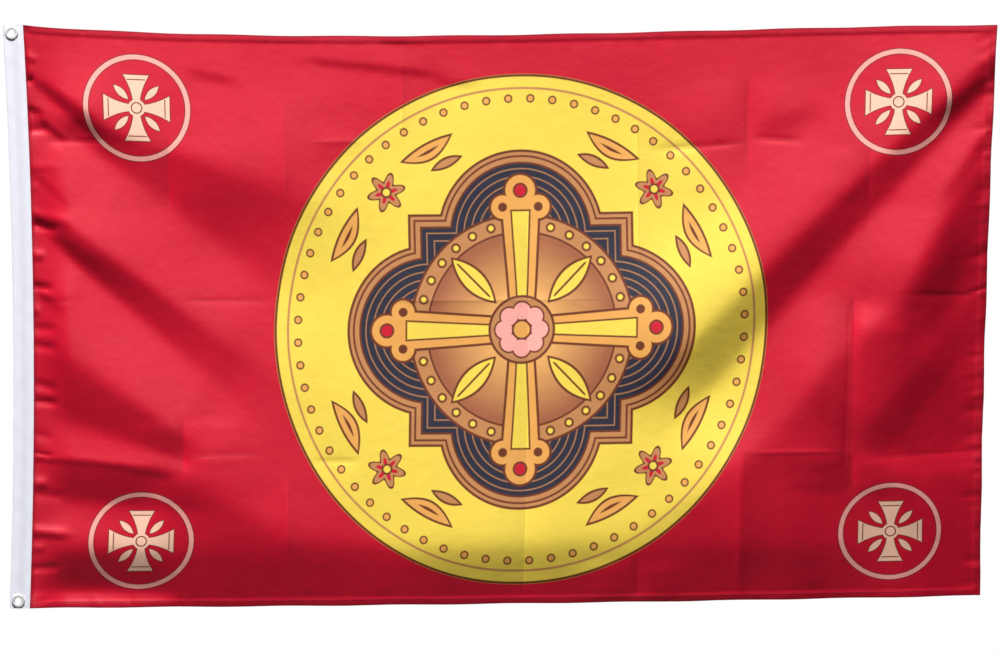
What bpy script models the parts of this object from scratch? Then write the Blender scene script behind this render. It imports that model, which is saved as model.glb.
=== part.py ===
"""A printed cloth flag that hangs by its two top corners, with a canvas heading and two grommets.

Metres, +Z up. X runs along the fly, from the heading at -X to the free edge at +X. The face looks
along -Y. The origin is the middle of the cloth's top edge, which is what holds the flag up.
"""

import math

import bmesh
import bpy
import numpy as np
from mathutils import Matrix, Vector

MM = 0.001

# The hanging outline: the four corners of the printed cloth, seen from the front
HOIST_TOP = (-720 * MM, 13.5 * MM)
HOIST_FOOT = (-709.5 * MM, -866.5 * MM)
FLY_TOP = (750 * MM, 13.5 * MM)
FLY_FOOT = (727 * MM, -848.5 * MM)

# How far each edge bows away from the straight line between its corners
TOP_SAG = 16.5 * MM
HOIST_BOW = 10.5 * MM
FLY_BOW = 4.5 * MM
FOOT_BOW = 1.5 * MM

# The top edge sags most nearer to the heading: exponents of the share from each corner
SAG_HOIST_POWER = 0.9
SAG_FLY_POWER = 1.7

# Cloth
CLOTH_THICK = 1.0 * MM
HEM_THICK = 1.8 * MM
HEM_WIDTH = 11 * MM
HEM_STEP = 2 * MM
TUCK = 9 * MM               # cloth held inside the heading
HEM_CLEAR = 5 * MM          # where the hem's double layer starts, past the heading

# Gap between pieces that touch
GAP = 0.3 * MM

# Heading
HEADING_WIDTH = 30 * MM
HEADING_WALL = 0.7 * MM
SLOT_HALF = CLOTH_THICK / 2 + GAP
HEADING_HALF = SLOT_HALF + HEADING_WALL
SLOT_DEPTH = TUCK + GAP
HEADING_STATIONS = 28
HEADING_EDGE_STEPS = 4

# Grommets
GROMMET_FROM_SEAM = 17.6 * MM
GROMMET_FROM_END = 11.5 * MM
HOLE_RADIUS = 5.0 * MM
BARREL_RADIUS = 5.6 * MM
FLANGE_RADIUS = 10.0 * MM
FLANGE_HEIGHT = 1.2 * MM
WASHER_THICK = 0.6 * MM
LIP_RADIUS = 7.2 * MM
LIP_HEIGHT = 0.7 * MM
TURN_STEPS = 28

# Soft folds of the hanging cloth, in millimetres. Each is a step in depth that runs from a head, at
# the edge that pulls it, to a tail, where it dies out: above the line the cloth stands forward, and
# below it the cloth falls back by drop. The half width grows or shrinks from head to tail.
# name, head x, head z, tail x, tail z, bow, head half, tail half, settle, drop, fade in, fade out
FOLDS = (
    ("hoist_upper", -702, -62, -540, -198, 4, 5, 22, 90, 9, 0, 0.40),
    ("hoist_spread", -709, -110, -205, -380, -9, 2, 90, 180, 42, 0.12, 0.42),
    ("hoist_middle", -705, -268, -300, -592, 0, 15, 35, 180, 28, 0, 0.70),
    ("hoist_lower", -712, -510, -440, -645, 0, 56, 11, 200, 36, 0, 0.22),
    ("hoist_shelf", -725, -668, -360, -702, 2, 30, 26, 160, 17, 0, 0.60),
    ("hoist_foot", -725, -804, -420, -815, 0, 30, 30, 60, 12, 0, 0.60),
    ("fly_upper", 739, -58, 188, -622, -5, 18, 42, 120, 32, 0, 0.22),
    ("fly_brow", 520, -150, 200, -440, 0, 40, 50, 120, -5, 0.25, 0.35),
    ("fly_lift", 520, -654, 735, -642, 0, 16, 20, 90, -4, 0.40, 0.02),
    ("fly_third", 744, -150, 610, -480, 0, 14, 50, 120, 18, 0, 0.40),
    ("fly_fourth", 745, -290, 600, -470, 0, 24, 34, 120, 5, 0, 0.25),
    ("fly_fifth", 733, -415, 545, -640, 0, 22, 26, 120, 6, 0, 0.20),
)

# The broad belly: the line below which the cloth turns back, as (x, z), and the slopes about it
TURN_LINE = (
    (-720, -650), (-505, -672), (-400, -712), (-317, -760), (-150, -775), (60, -770), (200, -750),
    (300, -695), (370, -640), (434, -580), (492, -505), (546, -456), (608, -396), (650, -326),
    (690, -250), (738, -175),
)
LEAN_START = 130
LEAN_SOFT = 50
LEAN_SLOPE = 0.04
TURN_SOFT = 9
TURN_SLOPE = 0.18
FOOT_LINE = -772
FOOT_SOFT = 8
FOOT_SLOPE = 0.12
FOOT_FADE = (500, 640)       # the foot's turn dies out between these on the fly side
FINE_NEAR_HEADING = 4
BELLY_SIDE = 320
BELLY_AT_HEADING = 0.60
FLAT_NEAR_HEADING = 62

# The shape of a fold across its line, in half widths: a straight ramp that levels off, then settles
RAMP_POWER = 6
SETTLE_START = 0.9

# Grid stretches across and down the cloth, as (share of the length, pieces)
COLUMN_STRETCHES = ((0.125, 12), (0.33, 14), (0.65, 11), (1.0, 26))
ROW_STRETCHES = ((0.5, 20), (1.0, 20))
CLOSEST_LINES = 0.004       # a grid line this near to a hem's line is left out

RED = (0.66, 0.03, 0.06, 1.0)
CANVAS = (0.82, 0.81, 0.88, 1.0)
NICKEL = (0.72, 0.71, 0.70, 1.0)


def clear_scene():
    for old in list(bpy.data.objects):
        bpy.data.objects.remove(old, do_unlink=True)


def material(name, colour, roughness, metallic):
    mat = bpy.data.materials.new(name)
    mat.use_nodes = True
    shader = mat.node_tree.nodes["Principled BSDF"]
    shader.inputs["Base Color"].default_value = colour
    shader.inputs["Roughness"].default_value = roughness
    shader.inputs["Metallic"].default_value = metallic
    return mat


def add_object(name, bm, mat):
    """Turns a bmesh into an object with outward normals."""
    bmesh.ops.recalc_face_normals(bm, faces=bm.faces)
    mesh = bpy.data.meshes.new(name)
    bm.to_mesh(mesh)
    bm.free()
    mesh.materials.append(mat)
    obj = bpy.data.objects.new(name, mesh)
    bpy.context.scene.collection.objects.link(obj)
    return obj


def smooth_step(start, end, value):
    share = min(max((value - start) / (end - start), 0.0), 1.0)
    return share * share * (3 - 2 * share)


def mix(a, b, share):
    return a + (b - a) * share


def arch(share):
    """0 at both ends and 1 in the middle."""
    return 4 * share * (1 - share)


def top_edge(s):
    """X and Z of the top edge at share s from the heading."""
    peak = SAG_HOIST_POWER / (SAG_HOIST_POWER + SAG_FLY_POWER)
    deepest = peak ** SAG_HOIST_POWER * (1 - peak) ** SAG_FLY_POWER
    sag = TOP_SAG * s ** SAG_HOIST_POWER * (1 - s) ** SAG_FLY_POWER / deepest
    return mix(HOIST_TOP[0], FLY_TOP[0], s), mix(HOIST_TOP[1], FLY_TOP[1], s) - sag


def foot_edge(s):
    x = mix(HOIST_FOOT[0], FLY_FOOT[0], s)
    return x, mix(HOIST_FOOT[1], FLY_FOOT[1], s) - FOOT_BOW * arch(s)


def hoist_edge(t):
    x = mix(HOIST_TOP[0], HOIST_FOOT[0], t) + HOIST_BOW * arch(t)
    return x, mix(HOIST_TOP[1], HOIST_FOOT[1], t)


def fly_edge(t):
    x = mix(FLY_TOP[0], FLY_FOOT[0], t) - FLY_BOW * arch(t)
    return x, mix(FLY_TOP[1], FLY_FOOT[1], t)


def outline_point(s, t):
    """X and Z of the cloth at shares s along the fly and t down, blended from its four edges."""
    blended = []
    corners = (HOIST_TOP, FLY_TOP, HOIST_FOOT, FLY_FOOT)
    for axis in (0, 1):
        down = mix(top_edge(s)[axis], foot_edge(s)[axis], t)
        along = mix(hoist_edge(t)[axis], fly_edge(t)[axis], s)
        upper = mix(corners[0][axis], corners[1][axis], s)
        lower = mix(corners[2][axis], corners[3][axis], s)
        blended.append(down + along - mix(upper, lower, t))
    return blended


def fold_depth(x, z, row):
    """How far one fold of the table stands forward at a point of the cloth, in millimetres."""
    _, head_x, head_z, tail_x, tail_z, bow, head_half, tail_half, settle_over, drop, fade_in, fade_out = row
    head = Vector((head_x, head_z))
    run = Vector((tail_x, tail_z)) - head
    length = run.length
    along = run / length
    below = Vector((along.y, -along.x))
    if below.y > 0:
        below = -below
    from_head = Vector((x, z)) - head
    share = from_head.dot(along) / length
    inside = min(max(share, 0.0), 1.0)
    half = mix(head_half, tail_half, inside)
    across = (from_head.dot(below) - bow * arch(inside)) / half
    ramp = -across / (1 + abs(across) ** RAMP_POWER) ** (1 / RAMP_POWER)
    reach = settle_over / half
    settle = math.exp(-max((abs(across) - SETTLE_START) / reach, 0.0) ** 2)
    window = 1 - smooth_step(1 - fade_out, 1, share)
    if fade_in > 0:
        window *= smooth_step(0, fade_in, share)
    growth = half / max(head_half, tail_half)
    return drop / 2 * ramp * settle * window * growth


def soft_bend(distance, soft):
    """0 before a line and the distance past it beyond, with a soft turn between."""
    return soft * np.logaddexp(0, distance / soft)


def belly_depth(x, z, from_seam):
    """The cloth leans forward on its way down, and turns back below TURN_LINE and at the foot."""
    turn_x, turn_z = zip(*TURN_LINE)
    lean = LEAN_SLOPE * soft_bend(-z - LEAN_START, LEAN_SOFT)
    turn = TURN_SLOPE * soft_bend(np.interp(x, turn_x, turn_z) - z, TURN_SOFT)
    foot = FOOT_SLOPE * soft_bend(FOOT_LINE - z, FOOT_SOFT) * (1 - smooth_step(*FOOT_FADE, x))
    side = mix(BELLY_AT_HEADING, 1.0, smooth_step(0, BELLY_SIDE, from_seam))
    return (lean - turn - foot) * side


def cloth_point(s, t):
    """A point of the cloth's middle surface, forward along -Y where it stands out."""
    x, z = outline_point(s, t)
    from_seam = (x - hoist_edge(t)[0]) / MM
    depth = belly_depth(x / MM, z / MM, from_seam)
    for row in FOLDS:
        depth += fold_depth(x / MM, z / MM, row)
    return Vector((x, -depth * MM * smooth_step(0, FLAT_NEAR_HEADING, from_seam), z))


def grid_shares(stretches, breaks):
    """Even steps over each stretch, with the hem's own lines put in and close ones left out."""
    shares = [0.0]
    start = 0.0
    for end, pieces in stretches:
        for i in range(1, pieces + 1):
            shares.append(mix(start, end, i / pieces))
        start = end
    kept = []
    for v in shares:
        if v in (0.0, 1.0) or all(abs(v - b) > CLOSEST_LINES for b in breaks):
            kept.append(v)
    return sorted(kept + list(breaks))


def make_cloth(mat):
    width = FLY_TOP[0] - HOIST_TOP[0]
    height = HOIST_TOP[1] - HOIST_FOOT[1]
    hem_s = (1 - (HEM_WIDTH + HEM_STEP) / width, 1 - HEM_WIDTH / width)
    clear_s = (HEM_CLEAR / width, (HEM_CLEAR + HEM_STEP) / width)
    hem_t = (HEM_WIDTH / height, (HEM_WIDTH + HEM_STEP) / height)
    columns = grid_shares(COLUMN_STRETCHES, clear_s + hem_s)
    rows = grid_shares(ROW_STRETCHES, hem_t + (1 - hem_t[1], 1 - hem_t[0]))

    # one more column lies inside the heading
    bm = bmesh.new()
    bmesh.ops.create_grid(bm, x_segments=len(columns), y_segments=len(rows) - 1, size=0.5)
    weight = bm.verts.layers.deform.verify()
    nearly = 1e-9
    for vert in bm.verts:
        i = round((vert.co.x + 0.5) * len(columns))
        j = round((0.5 - vert.co.y) * (len(rows) - 1))
        s = columns[max(i - 1, 0)]
        t = rows[j]
        vert.co = cloth_point(s, t)
        if i == 0:
            vert.co.x -= TUCK
        in_hem = t <= hem_t[0] + nearly or t >= 1 - hem_t[0] - nearly or s >= hem_s[1] - nearly
        vert[weight][0] = 1.0 if in_hem and s >= clear_s[1] - nearly else 0.0
    cloth = add_object("flag_cloth", bm, mat)
    cloth.vertex_groups.new(name="hem")

    solidify = cloth.modifiers.new("cloth_and_hem", "SOLIDIFY")
    solidify.thickness = HEM_THICK
    solidify.offset = 0.0
    solidify.vertex_group = "hem"
    solidify.thickness_vertex_group = CLOTH_THICK / HEM_THICK
    cloth.data.shade_smooth()
    return cloth


def heading_section():
    """The folded tape's outline across its width: X from the seam, and depth toward the front."""
    outer = -HEADING_WIDTH
    section = [(0.0, HEADING_HALF), (0.0, SLOT_HALF), (-SLOT_DEPTH, SLOT_HALF)]
    section += [(-SLOT_DEPTH, -SLOT_HALF), (0.0, -SLOT_HALF), (0.0, -HEADING_HALF)]
    for i in range(HEADING_EDGE_STEPS + 1):
        angle = math.pi * i / HEADING_EDGE_STEPS
        round_x = outer + HEADING_HALF * (1 - math.sin(angle))
        section.append((round_x, -HEADING_HALF * math.cos(angle)))
    return section


def heading_point(across, forward, t):
    seam_x, z = hoist_edge(t)
    return Vector((seam_x + across, -forward, z))


def make_heading(mat):
    bm = bmesh.new()
    section = heading_section()
    first = [bm.verts.new(heading_point(a, f, 0.0)) for a, f in section]
    cap = bm.faces.new(first)
    for i in range(1, HEADING_STATIONS + 1):
        t = i / HEADING_STATIONS
        grown = bmesh.ops.extrude_face_region(bm, geom=[cap])
        moved = [v for v in grown["geom"] if isinstance(v, bmesh.types.BMVert)]
        if i > 1:
            bmesh.ops.delete(bm, geom=[cap], context="FACES_ONLY")
        step = heading_point(0, 0, t) - heading_point(0, 0, (i - 1) / HEADING_STATIONS)
        bmesh.ops.translate(bm, verts=moved, vec=step)
        cap = next(f for f in grown["geom"] if isinstance(f, bmesh.types.BMFace))
    heading = add_object("heading_tape", bm, mat)
    for end in ("upper", "lower"):
        cut_hole(heading, end)
    return heading


def grommet_centre(end):
    """Centre of a grommet in the heading's middle plane."""
    height = HOIST_TOP[1] - HOIST_FOOT[1]
    t = GROMMET_FROM_END / height
    if end == "lower":
        t = 1 - t
    return heading_point(-GROMMET_FROM_SEAM, 0.0, t)


def cut_hole(heading, end):
    bm = bmesh.new()
    turn = Matrix.Translation(grommet_centre(end)) @ Matrix.Rotation(math.pi / 2, 4, "X")
    bmesh.ops.create_cone(
        bm, cap_ends=True, segments=TURN_STEPS, radius1=BARREL_RADIUS + GAP,
        radius2=BARREL_RADIUS + GAP, depth=6 * HEADING_HALF, matrix=turn)
    mesh = bpy.data.meshes.new("hole_" + end)
    bm.to_mesh(mesh)
    bm.free()
    cutter = bpy.data.objects.new("hole_" + end, mesh)
    cutter.hide_render = True
    cutter.display_type = "WIRE"
    bpy.context.scene.collection.objects.link(cutter)
    cut = heading.modifiers.new("hole_" + end, "BOOLEAN")
    cut.operation = "DIFFERENCE"
    cut.object = cutter


def turned(name, profile, centre, mat):
    """Spins a closed profile of (radius, distance forward) round the grommet's axis."""
    bm = bmesh.new()
    verts = [bm.verts.new(centre + Vector((radius, -forward, 0))) for radius, forward in profile]
    edges = [bm.edges.new((verts[i - 1], verts[i])) for i in range(len(verts))]
    bmesh.ops.spin(
        bm, geom=verts + edges, cent=centre, axis=(0, 1, 0), angle=math.tau,
        steps=TURN_STEPS, use_merge=True)
    obj = add_object(name, bm, mat)
    obj.data.shade_smooth()
    obj.data.set_sharp_from_angle(angle=math.radians(40))
    return obj


def make_eyelet(end, mat):
    """Front part: a domed flange, a barrel through the tape and a lip rolled over the washer."""
    seat = HEADING_HALF + GAP
    front = seat + FLANGE_HEIGHT
    lip_seat = -(seat + WASHER_THICK + GAP)
    back = lip_seat - LIP_HEIGHT
    edge = 0.4 * MM
    profile = [
        (HOLE_RADIUS, back + edge), (HOLE_RADIUS, front - 2 * edge),
        (HOLE_RADIUS + edge, front - edge / 2), (HOLE_RADIUS + 3 * edge, front),
        (FLANGE_RADIUS - 4 * edge, front), (FLANGE_RADIUS - edge, front - edge),
        (FLANGE_RADIUS, front - 2 * edge), (FLANGE_RADIUS, seat),
        (BARREL_RADIUS, seat), (BARREL_RADIUS, lip_seat),
        (LIP_RADIUS - edge, lip_seat), (LIP_RADIUS, (lip_seat + back) / 2),
        (LIP_RADIUS - edge, back), (HOLE_RADIUS + edge, back),
    ]
    return turned("eyelet_" + end, profile, grommet_centre(end), mat)


def make_washer(end, mat):
    """Back part: a flat ring with a rounded rim, held under the eyelet's lip."""
    seat = -(HEADING_HALF + GAP)
    back = seat - WASHER_THICK
    edge = 0.2 * MM
    bore = BARREL_RADIUS + GAP
    profile = [
        (bore, back), (bore, seat), (FLANGE_RADIUS, seat),
        (FLANGE_RADIUS, back + edge), (FLANGE_RADIUS - edge, back),
    ]
    return turned("washer_" + end, profile, grommet_centre(end), mat)


def main():
    clear_scene()
    make_cloth(material("printed_polyester", RED, 0.5, 0.0))
    make_heading(material("white_canvas", CANVAS, 0.8, 0.0))
    metal = material("plated_metal", NICKEL, 0.3, 1.0)
    for end in ("upper", "lower"):
        make_eyelet(end, metal)
        make_washer(end, metal)


main()
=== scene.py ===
"""Dresses the hanging flag: printed satin cloth, canvas heading, sewing and plated grommets."""

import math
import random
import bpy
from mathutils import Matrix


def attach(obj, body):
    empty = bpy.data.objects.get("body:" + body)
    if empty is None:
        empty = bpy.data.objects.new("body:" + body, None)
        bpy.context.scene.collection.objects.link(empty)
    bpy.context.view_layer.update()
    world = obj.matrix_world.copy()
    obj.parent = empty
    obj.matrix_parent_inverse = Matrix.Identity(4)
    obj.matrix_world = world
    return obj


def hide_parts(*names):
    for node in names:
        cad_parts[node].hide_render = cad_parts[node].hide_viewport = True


bl_info = {
    "name": "Hanging Flag",
    "version": (1, 0, 0),
    "blender": (4, 5, 0),
    "location": "View3D > Sidebar > Flag",
    "description": "Makes a printed cloth flag with its folds, canvas heading, sewing and grommets",
    "category": "Object",
}

import bmesh
import bpy
import numpy as np
from bpy.props import FloatProperty, FloatVectorProperty, IntProperty, PointerProperty
from bpy.types import Operator, Panel, PropertyGroup
from mathutils import Matrix, Vector
from mathutils.bvhtree import BVHTree

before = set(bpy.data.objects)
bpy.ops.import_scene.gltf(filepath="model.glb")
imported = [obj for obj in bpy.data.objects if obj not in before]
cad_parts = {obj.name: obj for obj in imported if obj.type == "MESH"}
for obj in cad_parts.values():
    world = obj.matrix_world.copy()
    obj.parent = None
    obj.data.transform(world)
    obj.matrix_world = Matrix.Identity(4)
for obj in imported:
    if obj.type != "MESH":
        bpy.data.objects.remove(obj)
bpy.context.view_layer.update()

MM = 0.001
UV_NAME = "flat_cloth"
DISC_CENTRE = (0.5095, 0.483)           # shares of the flat cloth, from the hoist and the foot
DISC_TALL = 1.046
LOW_RING_TALL = 0.92
FADED_PRINT = (0.70, 0.45, 0.42, 1.0)   # what the print on the back runs towards

# How much painted shade darkens the print in the hem, at its fold, at the hoist seam and beside
# that
HEM_SHADE = 0.14
FOLD_SHADE = 0.5
SEAM_SHADE = 0.42
BY_SEAM_SHADE = 0.10

FURTHEST_FROM_SOLID = 10 * MM

# The hanging outline of the printed cloth: its corners in X and Z, and how its edges bow
HOIST_TOP = (-720 * MM, 13.5 * MM)
HOIST_FOOT = (-709.5 * MM, -866.5 * MM)
FLY_TOP = (750 * MM, 13.5 * MM)
FLY_FOOT = (727 * MM, -848.5 * MM)
TOP_SAG = 16.5 * MM
SAG_HOIST_POWER = 0.9
SAG_FLY_POWER = 1.7
HOIST_BOW = 10.5 * MM
FLY_BOW = 4.5 * MM
FOOT_BOW = 1.5 * MM
TUCK = 8.5 * MM
HEADING_WIDTH = 30 * MM
HEADING_HALF = 1.35 * MM
SLOT_HALF = 0.7 * MM
SEAM_ROWS = (-2.4 * MM, -8.0 * MM)      # the heading's two stitch rows, from the hoist seam
GROMMET_FROM_SEAM = 17.6 * MM
GROMMET_FROM_END = 11.5 * MM
FLAT_WIDTH = 1470           # the flat cloth in millimetres, with its hems turned
FLAT_HEIGHT = 880
EDGE_WAVE = 0.5 * MM        # how far the sewn edges stray from their smooth outline

# Soft folds of the hanging cloth, in millimetres. Each is a step in depth that runs from a head, at
# the edge that pulls it, to a tail, where it dies out: above the line the cloth stands forward, and
# below it the cloth falls back by drop. The half width grows or shrinks from head to tail.
# name, head x, head z, tail x, tail z, bow, head half, tail half, settle, drop, fade in, fade out
FOLDS = (
    ("hoist_upper", -702, -62, -540, -198, 4, 5, 22, 90, 9, 0, 0.40),
    ("hoist_spread", -709, -110, -205, -380, -9, 2, 90, 180, 42, 0.12, 0.42),
    ("hoist_middle", -705, -268, -300, -592, 0, 15, 35, 180, 28, 0, 0.70),
    ("hoist_lower", -712, -510, -440, -645, 0, 56, 11, 200, 36, 0, 0.22),
    ("hoist_shelf", -725, -668, -360, -702, 2, 30, 26, 160, 17, 0, 0.60),
    ("hoist_foot", -725, -804, -420, -815, 0, 30, 30, 60, 12, 0, 0.60),
    ("fly_upper", 739, -58, 188, -622, -5, 18, 42, 120, 32, 0, 0.22),
    ("fly_brow", 520, -150, 200, -440, 0, 40, 50, 120, -5, 0.25, 0.35),
    ("fly_lift", 520, -654, 735, -642, 0, 16, 20, 90, -4, 0.40, 0.02),
    ("fly_third", 744, -150, 610, -480, 0, 14, 50, 120, 18, 0, 0.40),
    ("fly_fourth", 745, -290, 600, -470, 0, 24, 34, 120, 5, 0, 0.25),
    ("fly_fifth", 733, -415, 545, -640, 0, 22, 26, 120, 6, 0, 0.20),
)

# The broad belly: the line below which the cloth turns back, as (x, z), and the slopes about it
TURN_LINE = (
    (-720, -650), (-505, -672), (-400, -712), (-317, -760), (-150, -775), (60, -770), (200, -750),
    (300, -695), (370, -640), (434, -580), (492, -505), (546, -456), (608, -396), (650, -326),
    (690, -250), (738, -175),
)
LEAN_START = 130
LEAN_SOFT = 50
LEAN_SLOPE = 0.04
TURN_SOFT = 9
TURN_SLOPE = 0.18
FOOT_LINE = -772
FOOT_SOFT = 8
FOOT_SLOPE = 0.12
FOOT_FADE = (500, 640)       # the foot's turn dies out between these on the fly side
FINE_NEAR_HEADING = 4
BELLY_SIDE = 320
BELLY_AT_HEADING = 0.60
FLAT_NEAR_HEADING = 62

# Smaller folds and wrinkles of the same kind, which only show on the cloth's face
SMALL_FOLDS = (
    ("upper_band", -714, -62, -590, -156, 0, 4, 15, 60, 9.5, 0, 0.45),
    ("upper_nick", -712, -112, -650, -166, 0, 3.5, 5, 30, 5, 0, 0.30),
    ("middle_above", -708, -205, -640, -268, 0, 4, 6, 40, 2, 0, 0.40),
    ("middle_head", -712, -268, -560, -400, 0, 4, 20, 60, 8, 0, 0.60),
    ("lower_head", -712, -372, -650, -430, 0, 4, 7, 40, 4, 0, 0.45),
    ("shelf_edge", -716, -641, -478, -669, -3, 4, 6, 30, 2.6, 0, 0.14),
    ("shelf_streak", -700, -735, -550, -752, 0, 10, 12, 50, -1, 0.20, 0.45),
    ("foot_turn", -714, -850, -470, -850, 0, 8, 7, 40, -4, 0, 0.25),
    ("crown_left", -480, -54, -385, -78, 0, 5, 7, 40, 2.2, 0.30, 0.40),
    ("crown_line", -310, -38, -60, -66, 0, 4, 5, 40, 2.4, 0.20, 0.30),
    ("crown_end", -110, -66, -20, -76, 4, 4, 4, 30, 1.5, 0.40, 0.40),
    ("crown_edge", -200, -10, -100, -16, 0, 4, 4, 30, 1.2, 0.30, 0.40),
    ("fly_second", 742, -142, 650, -280, 0, 6, 9, 60, 4.6, 0, 0.45),
    ("fly_dip", 500, -110, 375, -150, 0, 14, 10, 60, 2, 0.30, 0.35),
    ("fly_crest", 743, -58, 640, -150, 0, 4, 14, 50, 5, 0, 0.45),
    ("fly_glint", 525, -422, 640, -436, 0, 18, 20, 60, -5, 0.25, 0.45),
)

# Packing creases and short wrinkles, straight soft ridges (+) or troughs (-) with the cloth's slope
# turned at them by tilt. Lengths in millimetres of the hanging plane
# name, head x, head z, tail x, tail z, half width, height, tilt
CREASES = (
    ("pack_down_1", -501, -150, -498, -272, 4, -0.33, 0.026),
    ("pack_down_1_low", -481, -575, -476, -668, 4, -0.4, 0.04),
    ("pack_down_2", -324, -95, -322, -250, 4, 0.2, -0.013),
    ("pack_down_2_low", -322, -660, -318, -800, 4, 0.2, -0.02),
    ("pack_down_3", -146, -20, -146, -160, 4, 0.2, -0.013),
    ("pack_down_4", 36, -270, 34, -858, 4, -0.26, 0.02),
    ("pack_down_5", 206, -120, 207, -420, 4, 0.2, -0.013),
    ("pack_down_5_low", 203, -790, 202, -860, 4, -0.33, 0.033),
    ("pack_down_6", 374, -60, 372, -205, 4, -0.33, 0.026),
    ("pack_down_6_low", 361, -622, 358, -858, 4, 0.4, -0.033),
    ("pack_down_7", 556, -165, 554, -260, 4, -0.26, 0.026),
    ("pack_down_7_mid", 530, -385, 519, -690, 4, -0.59, 0.070),
    ("pack_down_7_low", 529, -628, 525, -700, 4, -0.33, 0.04),
    ("pack_across_1", -690, -161, -588, -163, 4, -0.46, 0.04),
    ("pack_across_1_mid", -290, -164, -200, -162, 4, 0.26, -0.026),
    ("pack_across_1_right", 220, -176, 380, -163, 5, -0.53, 0.033),
    ("pack_across_1_end", 376, -156, 462, -162, 5, -0.53, 0.033),
    ("pack_across_2_seam", -705, -404, -640, -403, 4, -0.33, 0.013),
    ("pack_across_2", -490, -402, -335, -402, 4, -0.30, 0.008),
    ("pack_across_2_mid", -170, -402, 160, -402, 4, 0.2, -0.013),
    ("pack_across_2_fly", 600, -392, 736, -394, 4, -0.40, 0.006),
    ("pack_across_3", -476, -636, -355, -632, 5, -0.30, 0.008),
    ("pack_across_3_mid", -290, -644, -205, -644, 4, -0.46, 0.02),
    ("pack_across_3_low", 362, -632, 532, -630, 4, 0.33, -0.026),
    ("pack_across_3_fly", 540, -640, 736, -628, 4, -0.25, 0.008),
    ("nick_shelf", -680, -633, -505, -655, 5, 0.26, 0),
    ("nick_hem", 716, -470, 742, -468, 4, -0.4, 0.02),
    ("nick_corner", 700, -660, 738, -630, 5, 0.53, -0.02),
)
CREASE_FADE = 60            # length over which a long crease starts and ends, in millimetres
TILT_REACH = 55             # how far the turned slope is felt from its crease, in millimetres
BESIDE_CREASE = (-5 * MM, -2.2 * MM, 0, 2.2 * MM, 5 * MM)
CREASE_SHADE_REACH = 60     # how far a crease's painted change of shade is seen from it, in millimetres
CLOSEST_LINES = 1.4 * MM    # an even mesh line this close to an extra one is left out
CREASES_APART = 9 * MM      # creases closer than this share their extra mesh lines
EVEN_COLUMNS = 25           # places down the flat cloth are evened over this many lines across
EVEN_ROWS = 41              # places across it are evened over this many lines down
FINE_STRETCH = 200 * MM     # the finer mesh lines reach this far from the heading

# Short gathers along the sewn edges: edge, how many, length and spread, half width, height
GATHERS = (
    ("hoist", 24, 40, 30, 4.8, 3.3),
    ("fly", 36, 22, 12, 4.2, 1.2),
    ("top", 34, 16, 8, 4.4, 0.6),
    ("foot", 30, 18, 8, 4.6, 0.7),
)

# The shape of a fold across its line, in half widths: a straight ramp that levels off, then settles
RAMP_POWER = 6
SETTLE_START = 0.9


class FlagClothSettings(PropertyGroup):
    """Sizes of the printed cloth."""
    thickness: FloatProperty(
        name="Cloth thickness", description="Thickness of the single cloth",
        default=0.6 * MM, unit="LENGTH")
    hem_thickness: FloatProperty(
        name="Hem thickness", description="Thickness of the turned and sewn hem",
        default=1.5 * MM, unit="LENGTH")
    hem_width: FloatProperty(
        name="Hem width", description="Width of the turned hem", default=11 * MM, unit="LENGTH")
    fine_step: FloatProperty(
        name="Fine step", description="Spacing of the cloth's mesh lines by the heading",
        default=4.3 * MM, unit="LENGTH")
    wide_step: FloatProperty(
        name="Wide step", description="Spacing of the cloth's upright mesh lines elsewhere",
        default=8.4 * MM, unit="LENGTH")
    level_step: FloatProperty(
        name="Level step", description="Spacing of the cloth's level mesh lines",
        default=5.0 * MM, unit="LENGTH")
    crease_strength: FloatProperty(
        name="Crease strength", description="Multiplies the packing creases", default=1.5)
    gather_strength: FloatProperty(
        name="Gather strength", description="Multiplies the gathers along the sewn edges",
        default=1.0)
    roughness: FloatProperty(
        name="Roughness", description="Roughness of the satin face", default=0.45,
        subtype="FACTOR")


class FlagPrintSettings(PropertyGroup):
    """Colours and sizes of the print."""
    field: FloatVectorProperty(
        name="Field", description="Colour of the field", default=(0.63, 0.003, 0.026),
        subtype="COLOR")
    disc: FloatVectorProperty(
        name="Disc", description="Colour of the disc", default=(0.96, 0.71, 0.085),
        subtype="COLOR")
    tan: FloatVectorProperty(
        name="Tan", description="Colour of borders and leaves", default=(0.58, 0.25, 0.09),
        subtype="COLOR")
    warm: FloatVectorProperty(
        name="Warm", description="Colour of the medallion's heart", default=(0.86, 0.43, 0.13),
        subtype="COLOR")
    shaded: FloatVectorProperty(
        name="Shaded", description="Colour of the heart's edge", default=(0.40, 0.125, 0.055),
        subtype="COLOR")
    gold: FloatVectorProperty(
        name="Gold", description="Colour of the cross", default=(0.86, 0.40, 0.09),
        subtype="COLOR")
    navy: FloatVectorProperty(
        name="Navy", description="Colour of the medallion", default=(0.022, 0.021, 0.042),
        subtype="COLOR")
    brown: FloatVectorProperty(
        name="Brown", description="Colour of outlines and fine lines",
        default=(0.16, 0.032, 0.008), subtype="COLOR")
    peach: FloatVectorProperty(
        name="Peach", description="Colour of the corner rings", default=(1.0, 0.42, 0.36),
        subtype="COLOR")
    cream: FloatVectorProperty(
        name="Cream", description="Colour of the corner crosses", default=(1.0, 0.60, 0.43),
        subtype="COLOR")
    disc_radius: FloatProperty(
        name="Disc radius", description="Radius of the disc on the flat cloth",
        default=377 * MM, unit="LENGTH")
    ring_radius: FloatProperty(
        name="Ring radius", description="Middle radius of a corner ring", default=77.5 * MM,
        unit="LENGTH")


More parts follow.
